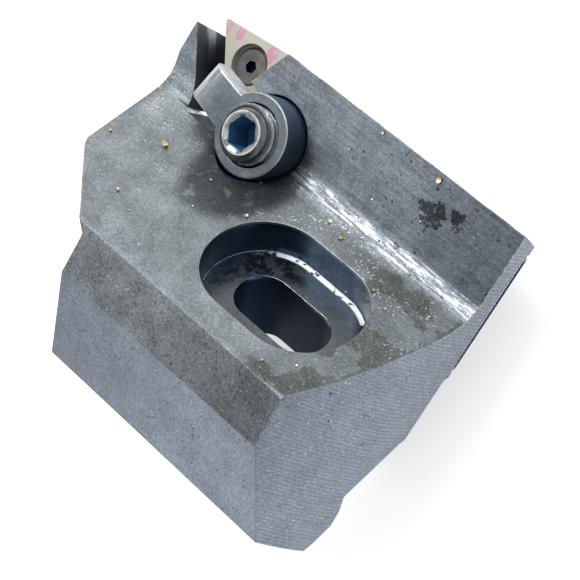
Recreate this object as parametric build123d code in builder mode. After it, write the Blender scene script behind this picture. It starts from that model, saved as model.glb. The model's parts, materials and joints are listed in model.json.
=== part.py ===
"""Quick-change tool cartridge: wedge-shaped steel holder with serrated base, insert, clamp and screws."""
import os
from math import cos, radians, sin, tan

from build123d import *

os.makedirs("parts", exist_ok=True)

# ---------------------------------------------------------------- frame
# +X runs from the turned end to the insert end, +Y from the rib to the thick side, +Z up from the
# serrated base. Origin: on the plain land outside the serrations, halfway along the base.
NEAR_X = -19.0           # turned end
RIB_Y = -2.0             # outer edge of the rib face

# ---------------------------------------------------------------- block profile (looking along +X)
RIB_Z = 4.7              # rib face above the base
RIB_DRAFT = 15.5         # lean of the outer rib side, degrees
BOLT_FACE_ANGLE = 50.0   # inclined bolt face to the base, degrees
CREST_Y, CREST_Z = 33.3, 28.95       # bolt face meets the top land
LAND_Y, LAND_Z = 41.9, 28.35         # top land meets the back slope
BACK_Y, BACK_TOP_Z = 56.5, 19.3      # back slope meets the upright back
BACK_LOW_Z = 9.0
TOE_Y, TOE_Z = 51.5, 6.1             # low point of the rear toe
NOTCH_Y, NOTCH_Z = 48.7, 6.4
HEEL_Y, HEEL_Z = 46.0, 7.8           # top of the inclined under-face
RAMP_Y, RAMP_Z = 35.9, 1.6           # foot of the inclined under-face
SHELF_Z = 0.8                        # plain strip beside the serrations
SHELF_Y = 35.2
TOOTH_Y = 23.4                       # serrations end here
ROOT_FILLET = 6.0                    # hollow between rib face and bolt face
WEAR, WEAR_LENGTH = 0.55, 11.0       # battered crest corner, depth at the turned end

# ---------------------------------------------------------------- plan of the block
BODY_X = 32.2            # lower block length
HEAD_X = 50.9            # tip of the head
HEAD_RELIEF = 4.5        # lean of the head's end face, degrees
TURN_R = 59.0            # radius of the turned end
TURN_X = 39.43           # axis of the turned end, parallel to Y in the base plane
HEAD_START_X = 19.0      # head hangs below the base from here
HEAD_LOW_Z = -13.0
HEAD_BACK_Y = 28.0

# ---------------------------------------------------------------- bolt slot
SLOT_X, SLOT_Y = 3.8, 23.7
SLOT_Z = CREST_Z - (CREST_Y - SLOT_Y) * tan(radians(BOLT_FACE_ANGLE))
SLOT_W, SLOT_C = 9.0, 8.6            # through slot width and centre distance
SINK_W, SINK_C = 20.0, 8.4           # counterbore width and centre distance
SINK_DEPTH = 6.5

# ---------------------------------------------------------------- serrations
TOOTH_PITCH, TOOTH_DEPTH = 1.0, 0.42
TOOTH_W = 0.8            # groove width at the base
STEP_GROOVE_R = 1.1      # cross groove where the head steps down
LAND_W = 0.7             # plain land from the origin to the first groove

# ---------------------------------------------------------------- insert, seat and their screw
INSERT_IC = 9.525        # inscribed circle
NOSE_R = 0.4
LEAD = 185.5             # heading of the outer cutting edge from the tip, degrees
CENTRE_X, CENTRE_Y = 40.9, 4.4      # insert hole
INSERT_T = 3.18
FLANK = 11.0             # insert clearance angle, degrees
SEAT_T = 2.4
SEAT_INSET = 1.2         # seat is this much smaller all round
FLOOR_Z = -INSERT_T - SEAT_T         # pocket floor
SINK_HOLE_D = 7.0        # recess for the screw head in the insert
THROAT_D = 4.8           # hole through insert and seat
RECESS_DEPTH = 1.2
CONE_DEPTH = 1.15
HEAD_D = 6.3             # insert screw head
HEAD_TOP_Z = -0.75
PIN_D = 4.0              # insert screw shank
PIN_Y = CENTRE_Y + 0.25  # the screw stands off centre and pulls the insert into the pocket corner
PIN_FIT = 0.05           # radial clearance
PIN_END_Z = -9.6
PIN_DEPTH = 0.6          # blind hole goes this much deeper
PIN_SOCKET = 2.0         # hex across flats
PIN_SOCKET_DEPTH = 1.6
WALL_GAP = 0.12          # insert to rib wall

# ---------------------------------------------------------------- pocket
GUARD_OFFSET = 2.5       # far wall of the pocket from the insert's inner edge
GUARD_LENGTH = 16.2      # inner end of that wall from the insert tip
GUARD_ROUND = 1.2        # corner at its inner end
RECESS_END = 5.4         # far end wall of the recess behind the arm
GULLY_Z = -5.0           # floor between insert and far wall
ARM_FLOOR_Z = -0.6       # floor under the clamp arm
UNDER_EDGE = 1.3         # block stands back this far under the outer cutting edge

# ---------------------------------------------------------------- clamp and clamp screw
AXIS_X, AXIS_Y = 27.5, 10.95
BOSS_R = 6.85
BOSS_EDGE = 0.15         # chamfered boss rims
BOSS_GAP = 0.3           # boss to its round recess
CLAMP_Z = 10.0           # clamp top, raised
BOSS_LOW_Z = 0.6         # boss foot, raised
RECESS_Z = -5.6          # floor of the round recess
ARM_T = 4.6              # arm thickness
ARM_ANGLE = -12.0
ARM_NEAR, ARM_FAR = -2.75, 3.45      # arm sides at its end, from its centre line
ARM_FLARE = 0.5          # arm is wider by this at its root, mostly on the far side
ARM_REACH = 13.9
ARM_ROUND = 0.9          # far corner of the arm end
ARM_GAP = 0.9            # arm to the side of its recess
ARM_NOSE_R = 2.4         # rounded top of the arm end
SCREW_D = 9.8            # M10 thread over its crests
SCREW_FIT = 0.05         # radial clearance in the block
CLAMP_FIT = 0.25         # radial clearance in the clamp
THREAD_PITCH, THREAD_DEPTH = 1.5, 0.8
SCREW_TOP_Z = 12.7
SCREW_LEAD = 1.4         # chamfered screw ends
SCREW_LENGTH = 20.0
SCREW_END_Z = SCREW_TOP_Z - SCREW_LENGTH
SCREW_SOCKET = 5.0       # hex across flats
SOCKET_DEPTH = 6.0
SOCKET_TURN = 3.0        # heading of one socket corner, degrees

OVER = 30.0              # cutters run this far past the metal

# ---------------------------------------------------------------- derived directions
edge_x, edge_y = cos(radians(LEAD)), sin(radians(LEAD))
inner_x, inner_y = cos(radians(LEAD - 60)), sin(radians(LEAD - 60))
tip_x = CENTRE_X - INSERT_IC * cos(radians(LEAD - 30))
tip_y = CENTRE_Y - INSERT_IC * sin(radians(LEAD - 30))
edge_len = INSERT_IC * 3 ** 0.5


def triangle(ic):
    """Corners of a triangle about the insert hole, sharp, with inscribed circle ic."""
    return [
        (CENTRE_X - ic * cos(radians(LEAD - 30 + a)), CENTRE_Y - ic * sin(radians(LEAD - 30 + a)))
        for a in (0, 120, 240)
    ]


def along_arm(u, v):
    """Plan point u along the clamp arm and v across it, from the clamp axis."""
    a = radians(ARM_ANGLE)
    return (AXIS_X + u * cos(a) - v * sin(a), AXIS_Y + u * sin(a) + v * cos(a))


# ================================================================ holder body
block_outline = [
    (RIB_Y + RIB_Z * tan(radians(RIB_DRAFT)), 0), (RIB_Y, RIB_Z),
    (CREST_Y - (CREST_Z - RIB_Z) / tan(radians(BOLT_FACE_ANGLE)), RIB_Z),
    (CREST_Y, CREST_Z), (LAND_Y, LAND_Z), (BACK_Y, BACK_TOP_Z), (BACK_Y, BACK_LOW_Z),
    (TOE_Y, TOE_Z), (NOTCH_Y, NOTCH_Z), (HEEL_Y, HEEL_Z), (RAMP_Y, RAMP_Z),
    (SHELF_Y, SHELF_Z), (TOOTH_Y + 0.5, SHELF_Z), (TOOTH_Y, 0),
]
# the head in plan, from the rib side round to the lower block
head_outline = [
    (HEAD_START_X - 12, -4), (HEAD_X, -4), (HEAD_X, 8.6), (48.9, 16.2), (47.2, 25.4),
    (46.4, 26.3), (34.2, 33.2), (BODY_X, 34.9), (BODY_X, 60), (HEAD_START_X - 12, 60),
]
tips = triangle(INSERT_IC)
wall = INSERT_IC + 2 * WALL_GAP
wall_a, wall_b = triangle(wall)[2], triangle(wall)[1]
wall_out = (wall_a[0] + 0.18 * (wall_a[0] - wall_b[0]), wall_a[1] + 0.18 * (wall_a[1] - wall_b[1]))
guard_x = tip_x + inner_y * GUARD_OFFSET
guard_y = tip_y - inner_x * GUARD_OFFSET
seat_out = (tip_x + inner_y * WALL_GAP - inner_x * 8, tip_y - inner_x * WALL_GAP - inner_y * 8)
guard_mid = (guard_x + inner_x * 10, guard_y + inner_y * 10)
guard_in = (guard_x + inner_x * GUARD_LENGTH, guard_y + inner_y * GUARD_LENGTH)
guard_out = (guard_x - inner_x * 6, guard_y - inner_y * 6)
recess_near = ARM_NEAR - ARM_GAP
recess_far = (guard_in[0] - RECESS_END, guard_in[1] + 0.2)

with BuildPart() as holder_body:
    # wedge-shaped block
    with BuildSketch(Plane.YZ.offset(NEAR_X)) as block_profile:
        with BuildLine():
            Polyline(*block_outline, close=True)
        make_face()
        root = block_profile.vertices().sort_by_distance((block_outline[2][0], RIB_Z))[0]
        fillet(root, radius=ROOT_FILLET)
    extrude(amount=HEAD_X - NEAR_X)
    # trim the far end to the head outline
    with BuildSketch(Plane.XY.offset(-1)) as far_trim:
        with Locations((HEAD_X, BACK_Y / 2)):
            Rectangle(2 * OVER, 3 * OVER)
        with BuildLine():
            Polyline(*head_outline, close=True)
        make_face(mode=Mode.SUBTRACT)
    extrude(amount=CREST_Z + OVER, mode=Mode.SUBTRACT)
    # head hanging below the base
    with BuildSketch(Plane.XY.offset(HEAD_LOW_Z)) as head_plan:
        with BuildLine():
            Polyline(
                (HEAD_START_X, -2), (HEAD_X, -2), (HEAD_X, 8.6), (48.9, 16.2), (47.2, 24.6),
                (43, HEAD_BACK_Y), (HEAD_START_X, HEAD_BACK_Y), close=True,
            )
        make_face()
    extrude(amount=SHELF_Z - HEAD_LOW_Z)
    # worn crest corner, widening towards the turned end
    crest = Plane(origin=(NEAR_X, CREST_Y, CREST_Z), x_dir=(0, 1, 0), z_dir=(1, 0, 0))
    slope_y, slope_z = cos(radians(BOLT_FACE_ANGLE)), sin(radians(BOLT_FACE_ANGLE))
    with BuildSketch(crest) as wear_wide:
        with BuildLine():
            Polyline(
                (-2 * WEAR * slope_y, -2 * WEAR * slope_z), (2 * WEAR, -0.14 * WEAR),
                (2 * WEAR, 1), (-3, 1), close=True,
            )
        make_face()
    with BuildSketch(crest.offset(WEAR_LENGTH)) as wear_narrow:
        with BuildLine():
            Polyline((-0.02 * slope_y, -0.02 * slope_z), (0.02, 0), (0.02, 0.02), (-0.02, 0.02), close=True)
        make_face()
    loft(mode=Mode.SUBTRACT)
    # turned near end
    with BuildSketch(Plane.XZ) as turned_end:
        with Locations((NEAR_X, CREST_Z / 2)):
            Rectangle(OVER, 2 * OVER)
        with Locations((TURN_X, 0)):
            Circle(TURN_R, mode=Mode.SUBTRACT)
    extrude(amount=-BACK_Y - OVER, mode=Mode.SUBTRACT)
    # leaning outer side of rib and head
    drop = -HEAD_LOW_Z + 1
    with BuildSketch(Plane.YZ.offset(NEAR_X)) as side_lean:
        with BuildLine():
            Polyline(
                (RIB_Y, RIB_Z), (RIB_Y + (RIB_Z + drop) * tan(radians(RIB_DRAFT)), -drop),
                (RIB_Y - OVER, -drop), (RIB_Y - OVER, RIB_Z), close=True,
            )
        make_face()
    extrude(amount=HEAD_X - NEAR_X, mode=Mode.SUBTRACT)
    # clearance under the outer cutting edge
    edge_plane = Plane(origin=(tip_x + edge_len * edge_x, tip_y + edge_len * edge_y, 0),
                       x_dir=(edge_y, -edge_x, 0), z_dir=(-edge_x, -edge_y, 0))
    with BuildSketch(edge_plane) as edge_clearance:
        with BuildLine():
            Polyline(
                (UNDER_EDGE, GULLY_Z), (UNDER_EDGE + drop * tan(radians(RIB_DRAFT)), -drop + GULLY_Z),
                (-OVER, -drop + GULLY_Z), (-OVER, GULLY_Z), close=True,
            )
        make_face()
    extrude(amount=edge_len + 8, mode=Mode.SUBTRACT)
    # leaning end face of the head
    with BuildSketch(Plane.XZ) as end_lean:
        with BuildLine():
            Polyline(
                (HEAD_X, RIB_Z), (HEAD_X - (RIB_Z + drop) * tan(radians(HEAD_RELIEF)), -drop),
                (HEAD_X + OVER, -drop), (HEAD_X + OVER, RIB_Z), close=True,
            )
        make_face()
    extrude(amount=-BACK_Y - OVER, mode=Mode.SUBTRACT)
    # insert pocket: seat floor open to the rib side and the end
    with BuildSketch(Plane.XY.offset(FLOOR_Z)) as seat_pocket:
        with BuildLine():
            Polyline(wall_out, wall_b, seat_out, (tip_x + OVER, -OVER), (wall_out[0], -OVER), close=True)
        make_face()
    extrude(amount=OVER, mode=Mode.SUBTRACT)
    # gully between insert and far wall
    with BuildSketch(Plane.XY.offset(GULLY_Z)) as gully:
        with BuildLine():
            Polyline(wall_b, guard_in, guard_out, (tip_x + OVER, -OVER), (tip_x - 2, tip_y), close=True)
        make_face()
        fillet(gully.vertices().sort_by_distance(guard_in)[0], radius=GUARD_ROUND)
    extrude(amount=OVER, mode=Mode.SUBTRACT)
    # recess for the clamp arm
    with BuildSketch(Plane.XY.offset(ARM_FLOOR_Z)) as arm_recess:
        with BuildLine():
            Polyline(
                along_arm(0, recess_near), along_arm(10.6, recess_near), wall_b, guard_mid, guard_in,
                recess_far, along_arm(5.6, ARM_FAR + 1.2), along_arm(0, ARM_FAR + 1.2), close=True,
            )
        make_face()
        gully_end = arm_recess.vertices().sort_by_distance(guard_in)[0]
        fillet(gully_end, radius=GUARD_ROUND)
    extrude(amount=OVER, mode=Mode.SUBTRACT)
    # round recess for the clamp boss
    with BuildSketch(Plane.XY.offset(RECESS_Z)) as boss_recess:
        with Locations((AXIS_X, AXIS_Y)):
            Circle(BOSS_R + BOSS_GAP)
    extrude(amount=OVER, mode=Mode.SUBTRACT)
    # through hole for the clamp screw, blind hole for the insert screw
    with BuildSketch(Plane.XY.offset(HEAD_LOW_Z)) as clamp_bore:
        with Locations((AXIS_X, AXIS_Y)):
            Circle(SCREW_D / 2 + SCREW_FIT)
    extrude(amount=RECESS_Z - HEAD_LOW_Z, mode=Mode.SUBTRACT)
    with BuildSketch(Plane.XY.offset(PIN_END_Z - PIN_DEPTH)) as screw_bore:
        with Locations((CENTRE_X, PIN_Y)):
            Circle(PIN_D / 2 + PIN_FIT)
    extrude(amount=FLOOR_Z - PIN_END_Z + PIN_DEPTH, mode=Mode.SUBTRACT)
    # oblong bolt slot, square to the inclined face
    bolt_face = Plane(origin=(SLOT_X, SLOT_Y, SLOT_Z), x_dir=(1, 0, 0),
                      z_dir=(0, -sin(radians(BOLT_FACE_ANGLE)), cos(radians(BOLT_FACE_ANGLE))))
    with BuildSketch(bolt_face) as sink:
        SlotCenterToCenter(SINK_C, SINK_W)
    extrude(amount=-SINK_DEPTH, mode=Mode.SUBTRACT)
    with BuildSketch(bolt_face) as through_slot:
        SlotCenterToCenter(SLOT_C, SLOT_W)
    extrude(amount=-OVER - BACK_Y / 2, mode=Mode.SUBTRACT)
    # serrations along the base
    teeth = int((TOOTH_Y - LAND_W) / TOOTH_PITCH)
    with BuildSketch(Plane.YZ.offset(NEAR_X)) as grooves:
        with Locations((LAND_W + teeth * TOOTH_PITCH / 2, 0)):
            with GridLocations(TOOTH_PITCH, 1, teeth, 1):
                Polygon((-TOOTH_W / 2, 0), (TOOTH_W / 2, 0), (0, TOOTH_DEPTH), align=None)
    extrude(amount=HEAD_START_X - NEAR_X, mode=Mode.SUBTRACT)
    # cross groove where the head steps down
    with BuildSketch(Plane.XZ) as step_groove:
        with Locations((HEAD_START_X - STEP_GROOVE_R + 0.2, 0)):
            Circle(STEP_GROOVE_R)
    extrude(amount=-SHELF_Y - 1, mode=Mode.SUBTRACT)

holder_body.part.label = "holder_body"
export_step(holder_body.part, "parts/holder_body.step")

# ================================================================ seat
with BuildPart() as seat:
    with BuildSketch(Plane.XY.offset(FLOOR_Z)) as seat_plan:
        with BuildLine():
            Polyline(*triangle(INSERT_IC - 2 * SEAT_INSET), close=True)
        make_face()
        fillet(seat_plan.vertices(), radius=NOSE_R)
        with Locations((CENTRE_X, CENTRE_Y)):
            Circle(THROAT_D / 2, mode=Mode.SUBTRACT)
    extrude(amount=SEAT_T)
    rim = seat.faces().sort_by(Axis.Z)[0].outer_wire().edges()
    chamfer(rim, length=0.3)

seat.part.label = "seat"
export_step(seat.part, "parts/seat.step")

# ================================================================ insert
with BuildPart() as insert:
    with BuildSketch(Plane.XY) as insert_plan:
        with BuildLine():
            Polyline(*triangle(INSERT_IC), close=True)
        make_face()
        fillet(insert_plan.vertices(), radius=NOSE_R)
    extrude(amount=-INSERT_T, taper=FLANK)
    with BuildSketch(Plane.XY) as head_recess:
        with Locations((CENTRE_X, CENTRE_Y)):
            Circle(SINK_HOLE_D / 2)
    extrude(amount=-RECESS_DEPTH, mode=Mode.SUBTRACT)
    with BuildSketch(Plane.XY.offset(-RECESS_DEPTH)) as cone_top:
        with Locations((CENTRE_X, CENTRE_Y)):
            Circle(SINK_HOLE_D / 2)
    with BuildSketch(Plane.XY.offset(-RECESS_DEPTH - CONE_DEPTH)) as cone_foot:
        with Locations((CENTRE_X, CENTRE_Y)):
            Circle(THROAT_D / 2)
    loft(mode=Mode.SUBTRACT)
    with BuildSketch(Plane.XY) as throat:
        with Locations((CENTRE_X, CENTRE_Y)):
            Circle(THROAT_D / 2)
    extrude(amount=-INSERT_T, mode=Mode.SUBTRACT)

insert.part.label = "insert"
export_step(insert.part, "parts/insert.step")

# ================================================================ insert screw
cone_low = RECESS_DEPTH + CONE_DEPTH
with BuildPart() as insert_screw:
    with BuildSketch(Plane.XZ.offset(-PIN_Y)) as screw_half:
        with BuildLine():
            Polyline(
                (CENTRE_X, HEAD_TOP_Z), (CENTRE_X + HEAD_D / 2 - 0.35, HEAD_TOP_Z),
                (CENTRE_X + HEAD_D / 2, HEAD_TOP_Z - 0.3), (CENTRE_X + HEAD_D / 2, -RECESS_DEPTH - 0.05),
                (CENTRE_X + PIN_D / 2, -cone_low - 0.1), (CENTRE_X + PIN_D / 2, PIN_END_Z + 0.5),
                (CENTRE_X + PIN_D / 2 - 0.5, PIN_END_Z), (CENTRE_X, PIN_END_Z), close=True,
            )
        make_face()
    revolve(axis=Axis((CENTRE_X, PIN_Y, 0), (0, 0, 1)))
    with BuildSketch(Plane.XY.offset(HEAD_TOP_Z)) as pin_socket:
        with Locations((CENTRE_X, PIN_Y)):
            RegularPolygon(PIN_SOCKET / 2, 6, major_radius=False, rotation=15)
    extrude(amount=-PIN_SOCKET_DEPTH, mode=Mode.SUBTRACT)

insert_screw.part.label = "insert_screw"
export_step(insert_screw.part, "parts/insert_screw.step")

# ================================================================ clamp
with BuildPart() as clamp:
    with BuildSketch(Plane.XY.offset(CLAMP_Z)) as boss_plan:
        with Locations((AXIS_X, AXIS_Y)):
            Circle(BOSS_R)
    extrude(amount=BOSS_LOW_Z - CLAMP_Z)
    boss_rims = clamp.edges().filter_by(GeomType.CIRCLE)
    chamfer(boss_rims, length=BOSS_EDGE)
    with BuildSketch(Plane.XY.offset(CLAMP_Z)) as arm_plan:
        with BuildLine():
            Polyline(
                along_arm(0, ARM_NEAR - ARM_FLARE / 2), along_arm(ARM_REACH, ARM_NEAR),
                along_arm(ARM_REACH, ARM_FAR), along_arm(0, ARM_FAR + ARM_FLARE), close=True,
            )
        make_face()
        fillet(arm_plan.vertices().sort_by_distance(along_arm(ARM_REACH, ARM_FAR))[0], radius=ARM_ROUND)
    extrude(amount=-ARM_T)
    # rounded top of the arm end
    arm_a = radians(ARM_ANGLE)
    arm_side = Plane(origin=(AXIS_X, AXIS_Y, CLAMP_Z), x_dir=(cos(arm_a), sin(arm_a), 0),
                     z_dir=(sin(arm_a), -cos(arm_a), 0))
    with BuildSketch(arm_side) as nose:
        with Locations((ARM_REACH, 0)):
            Rectangle(2 * ARM_NOSE_R, 2 * ARM_NOSE_R)
        with Locations((ARM_REACH - ARM_NOSE_R, -ARM_NOSE_R)):
            Circle(ARM_NOSE_R, mode=Mode.SUBTRACT)
        with Locations((ARM_REACH - ARM_NOSE_R, -2 * ARM_NOSE_R)):
            Rectangle(2 * ARM_NOSE_R, 2 * ARM_NOSE_R, mode=Mode.SUBTRACT)
    extrude(amount=BOSS_R, both=True, mode=Mode.SUBTRACT)
    # screw bore
    with BuildSketch(Plane.XY.offset(CLAMP_Z)) as clamp_hole:
        with Locations((AXIS_X, AXIS_Y)):
            Circle(SCREW_D / 2 + CLAMP_FIT)
    extrude(amount=BOSS_LOW_Z - CLAMP_Z, mode=Mode.SUBTRACT)

clamp.part.label = "clamp"
export_step(clamp.part, "parts/clamp.step")

# ================================================================ clamp screw
with BuildPart() as clamp_screw:
    with BuildSketch(Plane.XY.offset(SCREW_END_Z)) as screw_core:
        with Locations((AXIS_X, AXIS_Y)):
            Circle(SCREW_D / 2)
    extrude(amount=SCREW_TOP_Z - SCREW_END_Z)
    chamfer(clamp_screw.edges().filter_by(GeomType.CIRCLE), length=SCREW_LEAD, length2=SCREW_LEAD)
    # thread grooves
    with BuildSketch(Plane.XZ.offset(-AXIS_Y)) as thread_cut:
        turns = int((SCREW_TOP_Z - SCREW_END_Z - 2 * SCREW_LEAD) / THREAD_PITCH)
        with Locations((AXIS_X + SCREW_D / 2, (SCREW_TOP_Z + SCREW_END_Z) / 2)):
            with GridLocations(1, THREAD_PITCH, 1, turns):
                Polygon(
                    (0.05, -0.4 * THREAD_PITCH), (0.05, 0.4 * THREAD_PITCH), (-THREAD_DEPTH, 0), align=None,
                )
    revolve(axis=Axis((AXIS_X, AXIS_Y, 0), (0, 0, 1)), mode=Mode.SUBTRACT)
    with BuildSketch(Plane.XY.offset(SCREW_TOP_Z)) as socket:
        with Locations((AXIS_X, AXIS_Y)):
            RegularPolygon(SCREW_SOCKET / 2, 6, major_radius=False, rotation=SOCKET_TURN)
    extrude(amount=-SOCKET_DEPTH, mode=Mode.SUBTRACT)

clamp_screw.part.label = "clamp_screw"
export_step(clamp_screw.part, "parts/clamp_screw.step")
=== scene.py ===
"""Detailed meshes, materials, light and camera for the tool cartridge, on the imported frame."""
import json
from math import cos, pi, radians, sin

import bmesh
import bpy
from mathutils import Matrix, Vector

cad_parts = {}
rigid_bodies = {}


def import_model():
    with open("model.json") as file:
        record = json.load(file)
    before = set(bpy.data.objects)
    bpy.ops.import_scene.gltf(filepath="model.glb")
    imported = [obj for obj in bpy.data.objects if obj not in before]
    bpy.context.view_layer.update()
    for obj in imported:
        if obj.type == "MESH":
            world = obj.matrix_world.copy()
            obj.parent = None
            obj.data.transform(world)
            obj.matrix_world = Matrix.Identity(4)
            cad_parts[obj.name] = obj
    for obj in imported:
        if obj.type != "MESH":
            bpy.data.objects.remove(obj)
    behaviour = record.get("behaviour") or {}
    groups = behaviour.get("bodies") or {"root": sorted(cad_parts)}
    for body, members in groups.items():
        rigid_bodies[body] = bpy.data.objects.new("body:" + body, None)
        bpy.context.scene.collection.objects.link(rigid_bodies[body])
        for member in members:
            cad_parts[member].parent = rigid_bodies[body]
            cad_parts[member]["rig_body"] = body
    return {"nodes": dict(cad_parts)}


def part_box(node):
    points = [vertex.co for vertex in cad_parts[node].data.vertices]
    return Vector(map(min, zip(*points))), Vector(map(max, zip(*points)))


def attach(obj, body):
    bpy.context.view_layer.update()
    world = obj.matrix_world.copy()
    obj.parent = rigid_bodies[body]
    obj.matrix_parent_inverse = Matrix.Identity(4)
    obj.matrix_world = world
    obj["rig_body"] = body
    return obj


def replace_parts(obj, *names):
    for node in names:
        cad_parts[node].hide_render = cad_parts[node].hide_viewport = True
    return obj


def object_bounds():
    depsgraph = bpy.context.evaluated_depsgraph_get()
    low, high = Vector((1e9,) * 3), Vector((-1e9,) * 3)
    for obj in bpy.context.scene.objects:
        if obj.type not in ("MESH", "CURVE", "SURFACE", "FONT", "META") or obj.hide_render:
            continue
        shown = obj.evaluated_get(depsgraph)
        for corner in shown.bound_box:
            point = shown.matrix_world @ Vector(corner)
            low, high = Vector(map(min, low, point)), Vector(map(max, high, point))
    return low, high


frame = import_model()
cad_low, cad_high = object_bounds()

MM = 0.001                       # one millimetre in scene units

# ---------------------------------------------------------------- directions and places from the frame
BOLT_FACE = Vector((0, -sin(radians(50)), cos(radians(50))))     # inclined face with the bolt slot
TOP_LAND = Vector((0, 0.07, 0.998))
UPHILL = Vector((0, BOLT_FACE.z, -BOLT_FACE.y))                  # up the bolt face, towards its crest
BACK_SLOPE = Vector((0, 0.527, 0.85))
UP = Vector((0, 0, 1))
GUARD_WALL = Vector((-0.8141, -0.5807, 0))       # far wall of the insert pocket
screw_low, screw_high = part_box("clamp_screw")
pin_low, pin_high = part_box("insert_screw")
screw_middle = (screw_low + screw_high) / 2 / MM
CLAMP_AXIS = Vector((screw_middle.x, screw_middle.y, 0))
pin_middle = (pin_low + pin_high) / 2 / MM
PIN_AXIS = Vector((pin_middle.x, pin_middle.y, 0))
SCREW_RADIUS = (screw_high.x - screw_low.x) / 2 / MM
SCREW_TOP = screw_high.z / MM
SCREW_LEAD = 1.4                                 # length of the screw's end cones
END_RADIUS = SCREW_RADIUS - SCREW_LEAD           # flat end of the screw, inside its cone
ARM_NEAR_SIDE = Vector((-0.208, -0.978, 0))      # clamp arm's flank towards the rib
BOSS_SHADE_CENTRE = CLAMP_AXIS + Vector((-2.5, 4, 0))        # centre of a painted shade beside the clamp boss, standing in for the boss's dark reflection in the face
SLOT_CENTRE = Vector((3.8, 23.7, 17.51))
SLOT_FACE_POINT = Vector((0, 33.3, 28.95))       # on the bolt face, at its upper edge
INK_MARKS = (((48.2, 1.6, 0), 1.3), ((45.4, 1.2, 0), 1.4), ((38.2, 0.9, 0), 1.9))     # place and size


# ---------------------------------------------------------------- material helper
class Shader:
    """One procedural material: places are in millimetres in the part's own frame."""

    def __init__(self, name):
        self.material = bpy.data.materials.new(name)
        self.material.use_nodes = True
        self.nodes = self.material.node_tree.nodes
        self.links = self.material.node_tree.links
        self.surface = self.nodes["Principled BSDF"]
        coordinates = self.nodes.new("ShaderNodeTexCoord")
        flat = self.nodes.new("ShaderNodeVectorTransform")
        flat.vector_type, flat.convert_from, flat.convert_to = "NORMAL", "WORLD", "OBJECT"
        self.links.new(self.nodes.new("ShaderNodeNewGeometry").outputs["True Normal"], flat.inputs[0])
        self.normal = flat.outputs[0]
        self.place = self.vector("MULTIPLY", coordinates.outputs["Object"], (1000, 1000, 1000))

    def put(self, socket, value):
        """Link an output into a socket, or set a constant there."""
        if isinstance(value, bpy.types.NodeSocket):
            self.links.new(value, socket)
        else:
            socket.default_value = value

    def vector(self, operation, first, second):
        step = self.nodes.new("ShaderNodeVectorMath")
        step.operation = operation
        self.put(step.inputs[0], first)
        self.put(step.inputs[1], second)
        return step.outputs["Value" if operation == "DOT_PRODUCT" else "Vector"]

    def sum(self, operation, first, second=0.0):
        step = self.nodes.new("ShaderNodeMath")
        step.operation = operation
        self.put(step.inputs[0], first)
        self.put(step.inputs[1], second)
        return step.outputs[0]

    def axis(self, name):
        """X, Y or Z of the place, in millimetres."""
        split = self.nodes.new("ShaderNodeSeparateXYZ")
        self.put(split.inputs[0], self.place)
        return split.outputs[name]

    def fade(self, value, start, end, low=0.0, high=1.0):
        """A smooth step from low to high while value goes from start to end."""
        step = self.nodes.new("ShaderNodeMapRange")
        step.interpolation_type = "SMOOTHSTEP"
        for socket, number in zip(step.inputs, (value, start, end, low, high)):
            self.put(socket, number)
        return step.outputs[0]

    def towards(self, direction):
        """Cosine between the surface's own direction and this one."""
        return self.vector("DOT_PRODUCT", self.normal, direction)

    def facing(self, direction, tight=0.985):
        """1 where the surface faces this direction, 0 elsewhere."""
        return self.fade(self.towards(direction), tight - 0.04, tight)

    def noise(self, size, detail=3.0, roughness=0.55, stretch=(1, 1, 1), shift=(0, 0, 0)):
        """Noise with blotches about size millimetres across."""
        texture = self.nodes.new("ShaderNodeTexNoise")
        scaled = self.vector("MULTIPLY", self.place, tuple(s / size for s in stretch))
        self.put(texture.inputs["Vector"], self.vector("ADD", scaled, shift))
        texture.inputs["Scale"].default_value = 1.0
        texture.inputs["Detail"].default_value = detail
        texture.inputs["Roughness"].default_value = roughness
        return texture.outputs["Fac"]

    def both(self, first, second):
        return self.sum("MULTIPLY", first, second)

    def near(self, point, along, far, close):
        """1 within close millimetres of a point, 0 beyond far; along picks the axes that count."""
        offset = self.vector("MULTIPLY", self.vector("SUBTRACT", self.place, point), along)
        length = self.nodes.new("ShaderNodeVectorMath")
        length.operation = "LENGTH"
        self.put(length.inputs[0], offset)
        return self.fade(length.outputs["Value"], far, close)

    def blend(self, amount, first, second):
        """Between two numbers."""
        step = self.nodes.new("ShaderNodeMix")
        self.put(step.inputs[0], amount)
        self.put(step.inputs[2], first)
        self.put(step.inputs[3], second)
        return step.outputs[0]

    def mix(self, amount, first, second, blend="MIX"):
        step = self.nodes.new("ShaderNodeMix")
        step.data_type = "RGBA"
        step.blend_type = blend
        self.put(step.inputs[0], amount)
        self.put(step.inputs[6], first if isinstance(first, bpy.types.NodeSocket) else (*first, 1))
        self.put(step.inputs[7], second if isinstance(second, bpy.types.NodeSocket) else (*second, 1))
        return step.outputs[2]

    def shade(self, colour, factor):
        """Multiply a colour by a number."""
        grey = self.nodes.new("ShaderNodeCombineColor")
        for socket in grey.inputs:
            self.put(socket, factor)
        return self.mix(1.0, colour, grey.outputs[0], "MULTIPLY")

    def slot_distance(self):
        """Millimetres from the middle line of the oblong slot, measured in the bolt face."""
        apart = self.vector("SUBTRACT", self.place, SLOT_CENTRE)
        long = self.sum("ABSOLUTE", self.vector("DOT_PRODUCT", apart, Vector((1, 0, 0))))
        long = self.sum("MAXIMUM", self.sum("SUBTRACT", long, 4.2), 0.0)
        wide = self.vector("DOT_PRODUCT", apart, UPHILL)
        return self.sum("SQRT", self.sum("ADD", self.both(long, long), self.both(wide, wide)))

    def edges(self, width):
        """1 along edges, fading over width millimetres."""
        rounded = self.nodes.new("ShaderNodeBevel")
        rounded.samples = 6
        rounded.inputs["Radius"].default_value = width * MM
        plain = self.nodes.new("ShaderNodeNewGeometry")
        same = self.vector("DOT_PRODUCT", rounded.outputs[0], plain.outputs["True Normal"])
        return self.fade(same, 0.995, 0.86)

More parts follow.
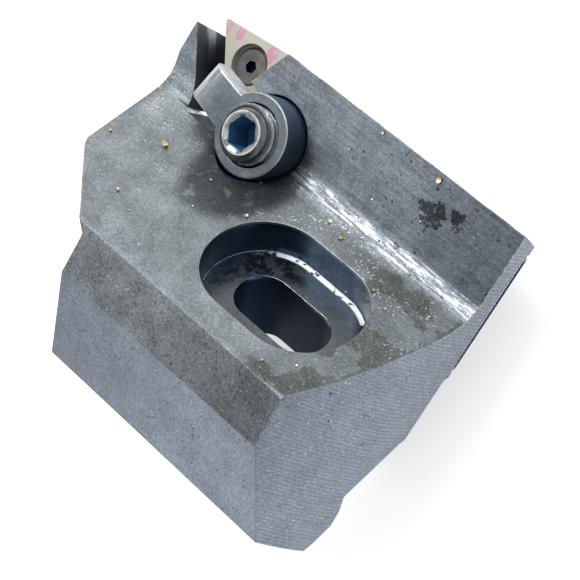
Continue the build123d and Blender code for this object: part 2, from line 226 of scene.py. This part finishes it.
    def bump(self, height, depth, below=None):
        """Raise the surface by height times depth millimetres."""
        step = self.nodes.new("ShaderNodeBump")
        step.inputs["Strength"].default_value = 1.0
        step.inputs["Distance"].default_value = depth * MM
        self.put(step.inputs["Height"], height)
        if below is not None:
            self.put(step.inputs["Normal"], below)
        return step.outputs[0]

    def finish(self, colour, roughness, normal=None, metallic=1.0):
        self.put(self.surface.inputs["Base Color"], colour)
        self.put(self.surface.inputs["Roughness"], roughness)
        self.put(self.surface.inputs["Metallic"], metallic)
        if normal is not None:
            self.put(self.surface.inputs["Normal"], normal)
        return self.material


# ---------------------------------------------------------------- materials
def black_steel():
    """Oily black-oxide steel of the block: each machined face has its own marks, and several faces and
    recesses carry painted light and shade.
    """
    s = Shader("black_steel")
    x, y = s.axis("X"), s.axis("Y")
    # where on the block
    bolt_face = s.facing(BOLT_FACE)
    land = s.facing(TOP_LAND)
    slope = s.facing(BACK_SLOPE)
    up = s.facing(UP)
    turned = s.both(s.fade(s.towards(Vector((-1, 0, 0))), 0.6, 0.75), s.fade(x, -8, -10))
    upward = s.towards(UP)
    rounding = s.both(s.fade(upward, 0.66, 0.72), s.both(s.fade(upward, 0.998, 0.98), s.fade(y, 16, 14)))
    hollow = s.both(s.fade(s.towards(BOLT_FACE), 0.99, 0.94), rounding)
    below_face = s.vector("DOT_PRODUCT", s.vector("SUBTRACT", s.place, SLOT_FACE_POINT), BOLT_FACE)
    across = s.vector("DOT_PRODUCT", s.vector("SUBTRACT", s.place, SLOT_CENTRE), UPHILL)
    within = s.both(s.fade(s.sum("ABSOLUTE", across), 11.5, 11), s.fade(s.towards(BOLT_FACE), -0.9, -0.8))
    sunk = s.both(s.fade(below_face, -0.3, -0.7), s.near((SLOT_CENTRE.x, 0, 0), (1, 0, 0), 15.5, 15))
    sunk = s.both(sunk, within)
    boss_recess = s.near(CLAMP_AXIS, (1, 1, 0), 7.45, 7.2)
    guard = s.facing(GUARD_WALL, 0.95)
    dark_inside = s.sum("MAXIMUM", s.sum("MAXIMUM", sunk, boss_recess), guard)
    # marks at several sizes
    blotch = s.noise(14, 4, 0.6)
    patch = s.noise(4.5, 5, 0.62, shift=(7, 3, 1))
    grain = s.noise(0.4, 3, 0.75)
    glints = s.fade(s.noise(0.3, 2, 0.6, shift=(4, 8, 2)), 0.62, 0.72)
    pits = s.fade(s.noise(0.9, 4, 0.65, shift=(3, 9, 5)), 0.64, 0.72)
    slope_pits = s.fade(s.noise(0.6, 3, 0.7, shift=(9, 2, 6)), 0.605, 0.645)
    pits = s.sum("MAXIMUM", pits, s.both(slope, s.both(slope_pits, s.fade(blotch, 0.40, 0.55))))
    lines = s.noise(0.5, 3, 0.65, stretch=(0.035, 1, 1))
    cross = s.noise(0.42, 3, 0.6, stretch=(1, 0.05, 0.05))
    # colour
    colour = s.mix(blotch, (0.15, 0.175, 0.21), (0.23, 0.265, 0.31))
    # painted light: the back slope is made lighter towards low x, standing in for light thrown up from the
    # floor
    colour = s.shade(colour, s.blend(slope, 1.0, s.fade(x, 34, -4, 1.06, 1.4)))
    colour = s.mix(bolt_face, colour, s.mix(blotch, (0.215, 0.244, 0.256), (0.285, 0.32, 0.337)))
    stain = s.both(s.fade(s.noise(7, 4, 0.5, shift=(1, 5, 8)), 0.50, 0.54), s.fade(x, 8, -6))
    stain = s.both(bolt_face, stain)
    colour = s.mix(s.sum("MULTIPLY", stain, 0.7), colour, (0.12, 0.13, 0.115))
    colour = s.mix(land, colour, s.mix(blotch, (0.18, 0.20, 0.215), (0.27, 0.295, 0.31)))
    colour = s.shade(colour, s.fade(s.both(land, s.fade(x, 16, -12)), 0, 1, 1.0, 0.66))
    specks = s.both(land, s.fade(s.noise(0.55, 3, 0.7, shift=(8, 8, 3)), 0.56, 0.62))
    colour = s.shade(colour, s.fade(specks, 0, 1, 1.0, 0.55))
    rib = s.both(up, s.fade(y, 16, 14))
    # painted shade: the rib is painted darker than the other faces, darkest at low x, with its own brushed
    # tone on top
    rib_colour = s.mix(s.fade(x, -17, 8), (0.094, 0.111, 0.128), (0.17, 0.194, 0.218))
    ground = s.noise(0.45, 4, 0.7, stretch=(0.04, 1, 1))
    rib_colour = s.shade(rib_colour, s.fade(ground, 0.3, 0.7, 0.84, 1.2))
    colour = s.mix(rib, colour, rib_colour)
    # painted highlight: a bright broken streak along the fillet under the rib, fading out at high x
    fillet_highlight = s.fade(s.noise(0.6, 5, 0.72, stretch=(0.1, 1, 1), shift=(2, 6, 1)), 0.44, 0.62)
    fillet_highlight = s.both(fillet_highlight, s.fade(x, 44, 34))
    colour = s.mix(hollow, colour, s.mix(fillet_highlight, (0.10, 0.115, 0.13), (0.44, 0.47, 0.49)))
    horn = s.both(bolt_face, s.fade(x, 46.5, 49.5))
    # painted highlight: a lighter patch on the bolt face near the horn
    sheen = s.both(bolt_face, s.near((45.5, 15, 0), (1, 1, 0), 5.5, 1))
    colour = s.shade(colour, s.fade(sheen, 0, 1, 1.0, 1.36))
    colour = s.shade(colour, s.fade(s.both(bolt_face, s.fade(x, 2, -7)), 0, 1, 1.0, 0.76))
    colour = s.shade(colour, s.fade(horn, 0, 1, 1.0, 0.72))
    colour = s.shade(colour, s.fade(patch, 0.3, 0.7, 0.84, 1.12))
    colour = s.shade(colour, s.fade(grain, 0.3, 0.7, 0.72, 1.22))
    # painted glints: tiny bright specks over the block, weaker on the rib
    colour = s.mix(s.both(glints, s.blend(rib, 0.5, 0.15)), colour, (0.75, 0.78, 0.80))
    dusty = s.both(s.both(bolt_face, s.fade(y, 27, 15)), s.fade(s.noise(5, 3, shift=(2, 2, 7)), 0.42, 0.6))
    dust = s.both(s.fade(s.noise(0.42, 2, 0.6, shift=(6, 1, 9)), 0.61, 0.66), dusty)
    colour = s.mix(dust, colour, (0.80, 0.83, 0.82))
    spots = s.noise(1.5, 5, 0.72, shift=(6, 2, 2))
    large_stain = s.near((-4.2, 4.2, 0), (1, 1.1, 0), 4.2, 0.8)
    small_stain = s.near((-7.8, 2.4, 0), (1, 1, 0), 2.6, 0.4)
    stained = s.sum("MAXIMUM", large_stain, small_stain)
    wet = s.fade(s.sum("ADD", spots, s.sum("MULTIPLY", stained, 0.22)), 0.62, 0.67)
    wet = s.both(rib, s.both(wet, s.fade(x, 20, 2)))
    wander = s.sum("ADD", y, s.sum("MULTIPLY", patch, 0.5))
    ridge = s.sum("SINE", s.sum("MULTIPLY", wander, 2 * pi / 0.62))
    colour = s.shade(colour, s.blend(turned, 1.0, s.fade(ridge, -1, 1, 0.88, 1.08)))
    oily = s.sum("MAXIMUM", pits, wet)
    colour = s.shade(colour, s.fade(oily, 0, 1, 1.0, 0.35))
    # painted shade: the bolt face is darkened beside the clamp boss, standing in for the boss's dark
    # reflection
    boss_shade = s.both(s.near(BOSS_SHADE_CENTRE, (1, 1, 0), 11, 7), s.fade(s.noise(3, 3), 0.2, 0.5))
    colour = s.shade(colour, s.fade(boss_shade, 0, 1, 1.0, 0.3))
    # painted shade: the counterbore and the boss recess are painted dark navy; the pocket wall shares this
    # mask and is painted over below
    colour = s.mix(dark_inside, colour, s.mix(patch, (0.028, 0.066, 0.125), (0.066, 0.12, 0.20)))
    # painted shade: the throat of the slot below the counterbore floor is painted near black
    throat = s.both(sunk, s.fade(below_face, -6.8, -7.3))
    colour = s.mix(throat, colour, s.mix(patch, (0.003, 0.016, 0.046), (0.010, 0.036, 0.082)))
    # painted shade: the counterbore is darker towards its near end, at low x
    colour = s.shade(colour, s.blend(sunk, 1.0, s.fade(x, -3, -9, 1.0, 0.4)))
    # painted shade: the counterbore wall that faces up the slope is darkened
    low_wall = s.both(sunk, s.fade(s.towards(UPHILL), 0.2, 0.7))
    colour = s.shade(colour, s.fade(low_wall, 0, 1, 1.0, 0.5))
    colour = s.mix(guard, colour, (0.075, 0.08, 0.095))
    waver = s.fade(s.noise(1.1, 4, 0.65, stretch=(0.12, 0.12, 1)), 0.3, 0.7, -0.7, 0.7)
    height = s.sum("ADD", s.axis("Z"), waver)
    band = s.both(s.both(s.fade(height, -1.3, 0.1), s.fade(height, 2.3, 1.0)), s.fade(y, 9, 4))
    colour = s.mix(s.both(guard, band), colour, (0.30, 0.315, 0.335))
    tan_spot = s.both(guard, s.near((49.8, 0.5, 3.8), (1, 1, 1), 2.0, 0.6))
    colour = s.mix(s.both(tan_spot, 0.7), colour, (0.36, 0.29, 0.24))
    floor_of_sink = s.both(s.both(sunk, bolt_face), s.fade(below_face, -7.5, -6.8))
    colour = s.mix(floor_of_sink, colour, s.mix(patch, (0.07, 0.08, 0.086), (0.21, 0.225, 0.235)))
    # painted reflection: a broken white, non-metal line along the foot of the counterbore wall, standing in
    # for light caught in the oil there
    foot_highlight = s.both(floor_of_sink, s.fade(s.slot_distance(), 8.9, 9.2))
    foot_highlight = s.both(foot_highlight, s.fade(s.noise(1.8, 4, 0.6, shift=(5, 1, 2)), 0.40, 0.45))
    foot_highlight = s.both(foot_highlight, s.fade(y, 26, 22.5))
    colour = s.mix(foot_highlight, colour, (0.95, 0.97, 0.98))
    crest = s.near(SLOT_FACE_POINT, (0, 1, 1), 0.9, 0.45)
    worn = s.both(s.edges(0.3), s.fade(s.noise(2.2, 3), 0.32, 0.6))
    worn = s.both(worn, s.blend(crest, 1.0, s.fade(x, 0, -12, 0.15, 0.8)))
    colour = s.mix(worn, colour, (0.66, 0.68, 0.70))
    # gloss
    rough = s.fade(patch, 0.3, 0.7, 0.36, 0.48)
    rough = s.sum("SUBTRACT", rough, s.sum("MULTIPLY", oily, 0.16))
    rough = s.blend(dark_inside, rough, s.blend(guard, 0.18, 0.38))
    rough = s.blend(floor_of_sink, rough, s.fade(s.noise(1.6, 3), 0.4, 0.6, 0.10, 0.34))
    rough = s.blend(throat, rough, 0.6)
    rough = s.blend(foot_highlight, s.blend(crest, rough, 0.62), 0.6)
    # relief
    normal = s.bump(s.both(turned, ridge), 0.03)
    normal = s.bump(s.both(up, lines), 0.014, normal)
    normal = s.bump(s.both(s.sum("MAXIMUM", slope, bolt_face), cross), 0.02, normal)
    normal = s.bump(grain, 0.028, normal)
    normal = s.bump(s.both(hollow, s.noise(0.5, 5, 0.75, stretch=(0.3, 1, 1))), 0.05, normal)
    normal = s.bump(oily, -0.04, normal)
    return s.finish(colour, rough, normal, s.sum("SUBTRACT", 1.0, foot_highlight))


def clamp_steel():
    """Satin black-oxide clamp: a grey top and lighter arm end as painted light over navy flanks as painted
    shade, a painted reflection on the arm flank, and polished rims.
    """
    s = Shader("clamp_steel")
    grain = s.noise(0.35, 3, 0.7)
    patch = s.noise(3, 4)
    brushed = s.noise(0.3, 3, 0.6, stretch=(0.15, 1, 1))
    # painted light and shade: upward faces get a lighter grey, the flanks a dark navy
    up = s.fade(s.towards(UP), 0.05, 0.7)
    colour = s.mix(up, (0.068, 0.100, 0.145), (0.145, 0.168, 0.19))
    # painted highlight: the top of the arm is lighter towards its end
    colour = s.mix(s.both(up, s.fade(s.axis("X"), 36, 41)), colour, (0.36, 0.39, 0.405))
    # painted reflection: the arm flank towards the rib is painted near white
    flank = s.both(s.facing(ARM_NEAR_SIDE, 0.97), s.near(CLAMP_AXIS, (1, 1, 0), 7.0, 7.4))
    colour = s.mix(flank, colour, s.mix(patch, (0.42, 0.45, 0.46), (0.66, 0.68, 0.69)))
    colour = s.shade(colour, s.fade(patch, 0.3, 0.7, 0.86, 1.14))
    colour = s.shade(colour, s.fade(grain, 0.3, 0.7, 0.82, 1.16))
    colour = s.mix(s.both(s.edges(0.35), s.fade(patch, 0.2, 0.5, 0.5, 0.95)), colour, (0.66, 0.69, 0.71))
    normal = s.bump(grain, 0.025)
    rough = s.blend(up, 0.52, s.fade(patch, 0.3, 0.7, 0.36, 0.46))
    return s.finish(colour, rough, s.bump(s.both(up, brushed), 0.015, normal))


def screw_steel():
    """Worn bright thread crests over darker roots, an end cone painted darker as shade, a painted highlight
    on the end rim, and a socket painted dark navy as shade.
    """
    s = Shader("screw_steel")
    z = s.axis("Z")
    grain = s.noise(0.3, 3, 0.7)
    patch = s.noise(1.6, 4, 0.6)
    dark = s.mix(patch, (0.04, 0.047, 0.06), (0.13, 0.14, 0.155))
    bright = s.mix(patch, (0.16, 0.17, 0.178), (0.44, 0.45, 0.45))
    root = s.near(CLAMP_AXIS, (1, 1, 0), SCREW_RADIUS - 0.05, SCREW_RADIUS - 0.5)
    root = s.both(root, s.fade(z, SCREW_TOP - 0.7, SCREW_TOP - 1.1))
    socket = s.both(s.near(CLAMP_AXIS, (1, 1, 0), 3.05, 2.95), s.fade(z, SCREW_TOP - 0.15, SCREW_TOP - 0.4))
    end_ring = s.near(CLAMP_AXIS, (1, 1, 0), END_RADIUS + 0.12, END_RADIUS + 0.02)
    cone = s.both(s.sum("SUBTRACT", 1.0, end_ring), s.fade(z, SCREW_TOP - 1.5, SCREW_TOP - 1.2))
    rim = s.both(end_ring, s.near(CLAMP_AXIS, (1, 1, 0), END_RADIUS - 0.25, END_RADIUS - 0.1))
    colour = s.mix(root, bright, dark)
    colour = s.shade(colour, s.fade(grain, 0.3, 0.7, 0.7, 1.22))
    # painted shade: the end cone is darkened
    colour = s.shade(colour, s.fade(cone, 0, 1, 1.0, 0.5))
    # painted highlight: a bright line at the rim of the flat end
    colour = s.mix(s.both(rim, s.fade(patch, 0.3, 0.5, 0.3, 0.9)), colour, (0.72, 0.74, 0.74))
    # painted shade: the hex socket is painted dark navy
    colour = s.mix(socket, colour, (0.018, 0.092, 0.20))
    colour = s.mix(s.both(s.edges(0.15), s.sum("SUBTRACT", 1.0, root)), colour, (0.74, 0.75, 0.74))
    rough = s.blend(socket, s.fade(patch, 0.3, 0.7, 0.24, 0.38), 0.8)
    return s.finish(colour, rough, s.bump(grain, 0.025), s.sum("SUBTRACT", 1.0, socket))


def pin_steel():
    """Insert screw head, brown with baked oil on one side, with a dark hex socket."""
    s = Shader("pin_steel")
    grain = s.noise(0.25, 3, 0.7)
    patch = s.noise(1.8, 4, 0.6)
    colour = s.mix(s.fade(s.axis("X"), 39, 43), (0.17, 0.145, 0.13), (0.11, 0.115, 0.125))
    colour = s.shade(colour, s.fade(patch, 0.3, 0.7, 0.75, 1.2))
    # painted shade: the hex socket is painted dark navy
    socket = s.near(PIN_AXIS, (1, 1, 0), 1.22, 1.1)
    colour = s.mix(s.both(socket, s.fade(s.axis("Z"), -0.85, -1.0)), colour, (0.01, 0.022, 0.045))
    colour = s.mix(s.both(s.edges(0.15), 0.5), colour, (0.45, 0.45, 0.44))
    return s.finish(colour, s.fade(grain, 0.3, 0.7, 0.38, 0.5), s.bump(grain, 0.015))


def carbide():
    s = Shader("carbide")
    grain = s.noise(0.15, 2, 0.7)
    patch = s.noise(2, 4)
    colour = s.mix(patch, (0.20, 0.20, 0.205), (0.32, 0.32, 0.32))
    return s.finish(colour, 0.5, s.bump(grain, 0.01), 0.6)


def insert_carbide():
    """Ground insert, ivory under a film of dried oil, with a few smears of marker ink."""
    s = Shader("insert_carbide")
    grain = s.noise(0.2, 3, 0.7)
    patch = s.noise(2.4, 4, 0.6)
    colour = s.mix(patch, (0.35, 0.335, 0.28), (0.47, 0.45, 0.385))
    broken = s.fade(s.noise(0.9, 3, 0.6, shift=(2.3, 0.4, 0)), 0.38, 0.52)
    marks = 0.0
    for place, size in INK_MARKS:
        marks = s.sum("MAXIMUM", s.near(place, (1.4, 0.8, 0), size, 0.55 * size), marks)
    marks = s.both(s.both(marks, broken), s.facing(UP))
    colour = s.mix(s.both(marks, 0.62), colour, (0.52, 0.12, 0.29))
    return s.finish(colour, 0.45, s.bump(grain, 0.01), 0.15)


def brass_chip():
    s = Shader("brass_chip")
    patch = s.noise(0.3, 3)
    return s.finish(s.mix(patch, (0.45, 0.30, 0.12), (0.85, 0.68, 0.38)), 0.35)


# ---------------------------------------------------------------- meshes
def bevelled(node, name, width, sharpest=22.0, shortest=0.35):
    """A copy of a CAD node with its sharp edges rounded, which replaces it."""
    mesh = bmesh.new()
    mesh.from_mesh(frame["nodes"][node].data)
    bmesh.ops.remove_doubles(mesh, verts=mesh.verts, dist=1e-6)
    bmesh.ops.dissolve_limit(mesh, angle_limit=radians(0.5), verts=mesh.verts, edges=mesh.edges)
    sharp = [e for e in mesh.edges if e.is_manifold and e.calc_face_angle() > radians(sharpest)
             and e.calc_length() > shortest * MM]
    bmesh.ops.bevel(mesh, geom=sharp, offset=width * MM, segments=2, profile=0.5, affect="EDGES",
                    clamp_overlap=False, harden_normals=False)
    data = bpy.data.meshes.new(name)
    mesh.to_mesh(data)
    mesh.free()
    piece = bpy.data.objects.new(name, data)
    bpy.context.scene.collection.objects.link(piece)
    for face in data.polygons:
        face.use_smooth = True
    data.set_sharp_from_angle(angle=radians(35))
    flats = piece.modifiers.new("flat_faces", "WEIGHTED_NORMAL")
    flats.keep_sharp = True
    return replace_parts(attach(piece, frame["nodes"][node]["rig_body"]), node)


def lathe_rings(rings, around):
    """Faces between closed rings of points, with both ends closed; every ring has the same count."""
    points = [p for ring in rings for p in ring]
    faces = [tuple(range(around - 1, -1, -1))]
    for row in range(len(rings) - 1):
        base = row * around
        for k in range(around):
            after = (k + 1) % around
            faces.append((base + k, base + after, base + around + after, base + around + k))
    faces.append(tuple(range(len(points) - around, len(points))))
    return points, faces


def new_piece(name, points, faces, body, crease=35):
    data = bpy.data.meshes.new(name)
    data.from_pydata(points, [], faces)
    for face in data.polygons:
        face.use_smooth = True
    data.set_sharp_from_angle(angle=radians(crease))
    piece = bpy.data.objects.new(name, data)
    bpy.context.scene.collection.objects.link(piece)
    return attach(piece, body)


def helical_screw():
    """Clamp screw with a real helix, chamfered ends and a hex socket with a lead-in cone."""
    around, steps = 72, 190
    bottom = screw_low.z / MM
    pitch, depth = 1.5, 0.8
    socket, socket_depth, cone = 5.0, 6.0, 0.3
    tip_radius, tip_depth = 0.3, 0.8             # drill point at the bottom of the socket
    corner = radians(3)

    def place(angle, r, z):
        return Vector((CLAMP_AXIS.x + r * cos(angle), CLAMP_AXIS.y + r * sin(angle), z)) * MM

    def flank(angle, z):
        turn = (z / pitch - angle / (2 * pi)) % 1.0
        cut = min(max((abs(2 * turn - 1) - 0.12) / 0.7, 0.0), 1.0)
        end = min(z - bottom, SCREW_TOP - z)
        return min(SCREW_RADIUS - depth * cut, END_RADIUS + end - 0.35 * cut * min(end, 1.0))

    def hexagon(angle):
        return socket / 2 / cos(((angle - corner) % (pi / 3)) - pi / 6)

    angles = [corner + 2 * pi * k / around for k in range(around)]
    heights = [bottom + (SCREW_TOP - bottom) * j / steps for j in range(steps + 1)]
    rings = [[place(a, flank(a, z), z) for a in angles] for z in heights]
    rings.append([place(a, socket / 2 + cone + 0.25, SCREW_TOP) for a in angles])
    rings.append([place(a, hexagon(a), SCREW_TOP - cone) for a in angles])
    rings.append([place(a, hexagon(a), SCREW_TOP - socket_depth) for a in angles])
    rings.append([place(a, tip_radius, SCREW_TOP - socket_depth - tip_depth) for a in angles])
    points, faces = lathe_rings(rings, around)
    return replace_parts(new_piece("clamp_screw_threaded", points, faces, "clamp_screw"), "clamp_screw")


def chips(name, spots, body, seed):
    """Small curled metal chips lying on a face: each spot is a place, the face's direction and a size."""
    points, faces = [], []
    for count, (place, facing, size) in enumerate(spots):
        across = facing.orthogonal().normalized()
        across.rotate(Matrix.Rotation(2.4 * count + seed, 3, facing))
        along = facing.cross(across)
        for row in range(5):
            bend = (row / 4 - 0.5) * 2.2
            for side in (-0.5, 0.5):
                wide = size * 0.55 * side * (1.1 - 0.5 * abs(row / 2 - 1))
                lift = size * (0.12 + 0.35 * (1 - cos(bend)))
                for skin in (0.0, 0.08):
                    points.append((place + along * size * 0.5 * sin(bend) + across * wide
                                   + facing * (lift + skin * size)) * MM)
        base = 20 * count
        for row in range(4):
            a = base + 4 * row
            faces += [(a, a + 2, a + 6, a + 4), (a + 1, a + 5, a + 7, a + 3),
                      (a, a + 4, a + 5, a + 1), (a + 2, a + 3, a + 7, a + 6)]
        faces += [(base, base + 1, base + 3, base + 2), (base + 16, base + 18, base + 19, base + 17)]
    return new_piece(name, points, faces, body, 50)


def on_bolt_face(x, t):
    """A place on the bolt face, t millimetres down it from the crest."""
    return SLOT_FACE_POINT + Vector((x, -t * BOLT_FACE.z, t * BOLT_FACE.y))


def paint(piece, material):
    piece.data.materials.clear()
    piece.data.materials.append(material)
    return piece


paint(bevelled("holder_body", "holder_body_detailed", 0.14), black_steel())
paint(bevelled("clamp", "clamp_detailed", 0.15), clamp_steel())
screw_metal = screw_steel()
paint(helical_screw(), screw_metal)
paint(frame["nodes"]["insert_screw"], pin_steel())
paint(frame["nodes"]["insert"], insert_carbide())
paint(frame["nodes"]["seat"], carbide())
brass_spots = (
    [(on_bolt_face(x, t), BOLT_FACE, size) for x, t, size in (
        (38, 20.5, 1.5), (18, 20, 0.8), (9, 29, 0.85), (5.5, 28, 0.95), (-5, 2.5, 0.6),
        (35, 8.5, 0.75), (-9, 5.5, 0.5), (30.5, 7, 0.45), (27.5, 21, 0.6), (-5.5, 24.5, 0.55))]
    + [(Vector((x, y, 4.7)), UP, size) for x, y, size in ((-2, -0.8, 1.3), (10.5, -1.2, 0.6), (14, 4, 0.5))]
    + [(Vector((46, 23, 16.7)), BOLT_FACE, 0.8)])
paint(chips("brass_chips", brass_spots, "holder", 0.5), brass_chip())
steel_spots = (
    [(on_bolt_face(x, t), BOLT_FACE, size) for x, t, size in (
        (13, 27, 0.35), (8, 30.5, 0.3), (22, 26.5, 0.35), (25, 15, 0.3), (-3, 21, 0.3), (-8, 26, 0.35),
        (16, 5, 0.25), (24, 3.5, 0.3), (40, 9, 0.3), (33, 14, 0.3))]
    + [(Vector((x, y, 4.7)), UP, size) for x, y, size in (
        (0, 9, 0.35), (-3, 6, 0.4), (6, 8, 0.3), (20, 1, 0.3), (-12, 3, 0.3))])
paint(chips("steel_chips", steel_spots, "holder", 1.7), screw_metal)


# ---------------------------------------------------------------- floor, light and camera
def floor():
    data = bpy.data.meshes.new("studio_floor")
    size = 3.0
    z = cad_low.z - 0.0001
    corners = [(-size, -size, z), (size, -size, z), (size, size, z), (-size, size, z)]
    data.from_pydata(corners, [], [(0, 1, 2, 3)])
    piece = bpy.data.objects.new("studio_floor", data)
    bpy.context.scene.collection.objects.link(piece)
    s = Shader("studio_floor")
    tint = s.noise(60, 2)
    s.finish(s.mix(tint, (0.93, 0.93, 0.93), (0.95, 0.95, 0.95)), 0.9, metallic=0.0)
    s.surface.inputs["Emission Color"].default_value = (1, 1, 1, 1)
    s.surface.inputs["Emission Strength"].default_value = 0.4
    data.materials.append(s.material)


def area_light(name, direction, distance, size, power, colour=(1, 1, 1)):
    """A soft panel aimed at the part from this direction."""
    lamp = bpy.data.lights.new(name, "AREA")
    lamp.shape = "RECTANGLE"
    lamp.size, lamp.size_y = size
    lamp.energy = power
    lamp.color = colour
    panel = bpy.data.objects.new(name, lamp)
    bpy.context.scene.collection.objects.link(panel)
    centre = (cad_low + cad_high) / 2
    panel.location = centre + Vector(direction).normalized() * distance
    panel.rotation_euler = (centre - panel.location).to_track_quat("-Z", "Y").to_euler()


def studio():
    world = bpy.data.worlds.new("studio_world")
    bpy.context.scene.world = world
    world.use_nodes = True
    world.node_tree.nodes["Background"].inputs["Color"].default_value = (0.97, 0.985, 1.0, 1)
    world.node_tree.nodes["Background"].inputs["Strength"].default_value = 0.8
    area_light("overhead_panel", (0.35, -0.45, 0.8), 0.5, (0.35, 0.2), 2.2)


def camera():
    lens = bpy.data.cameras.new("camera")
    lens.sensor_width = 36
    lens.lens = 136.58
    lens.clip_start, lens.clip_end = 0.01, 10
    eye = bpy.data.objects.new("camera", lens)
    bpy.context.scene.collection.objects.link(eye)
    right = Vector((-0.67393847, -0.51663359, -0.52810668))
    down = Vector((-0.57035876, 0.81818523, -0.07255213))
    forward = Vector((0.46957196, 0.2523146, -0.846073))
    turn = Matrix((right, -down, -forward)).transposed().to_4x4()
    eye.matrix_world = Matrix.Translation((-0.15139, -0.0590, 0.29495)) @ turn
    bpy.context.scene.camera = eye


floor()
studio()
camera()
view = bpy.context.scene.view_settings
view.view_transform = "Standard"
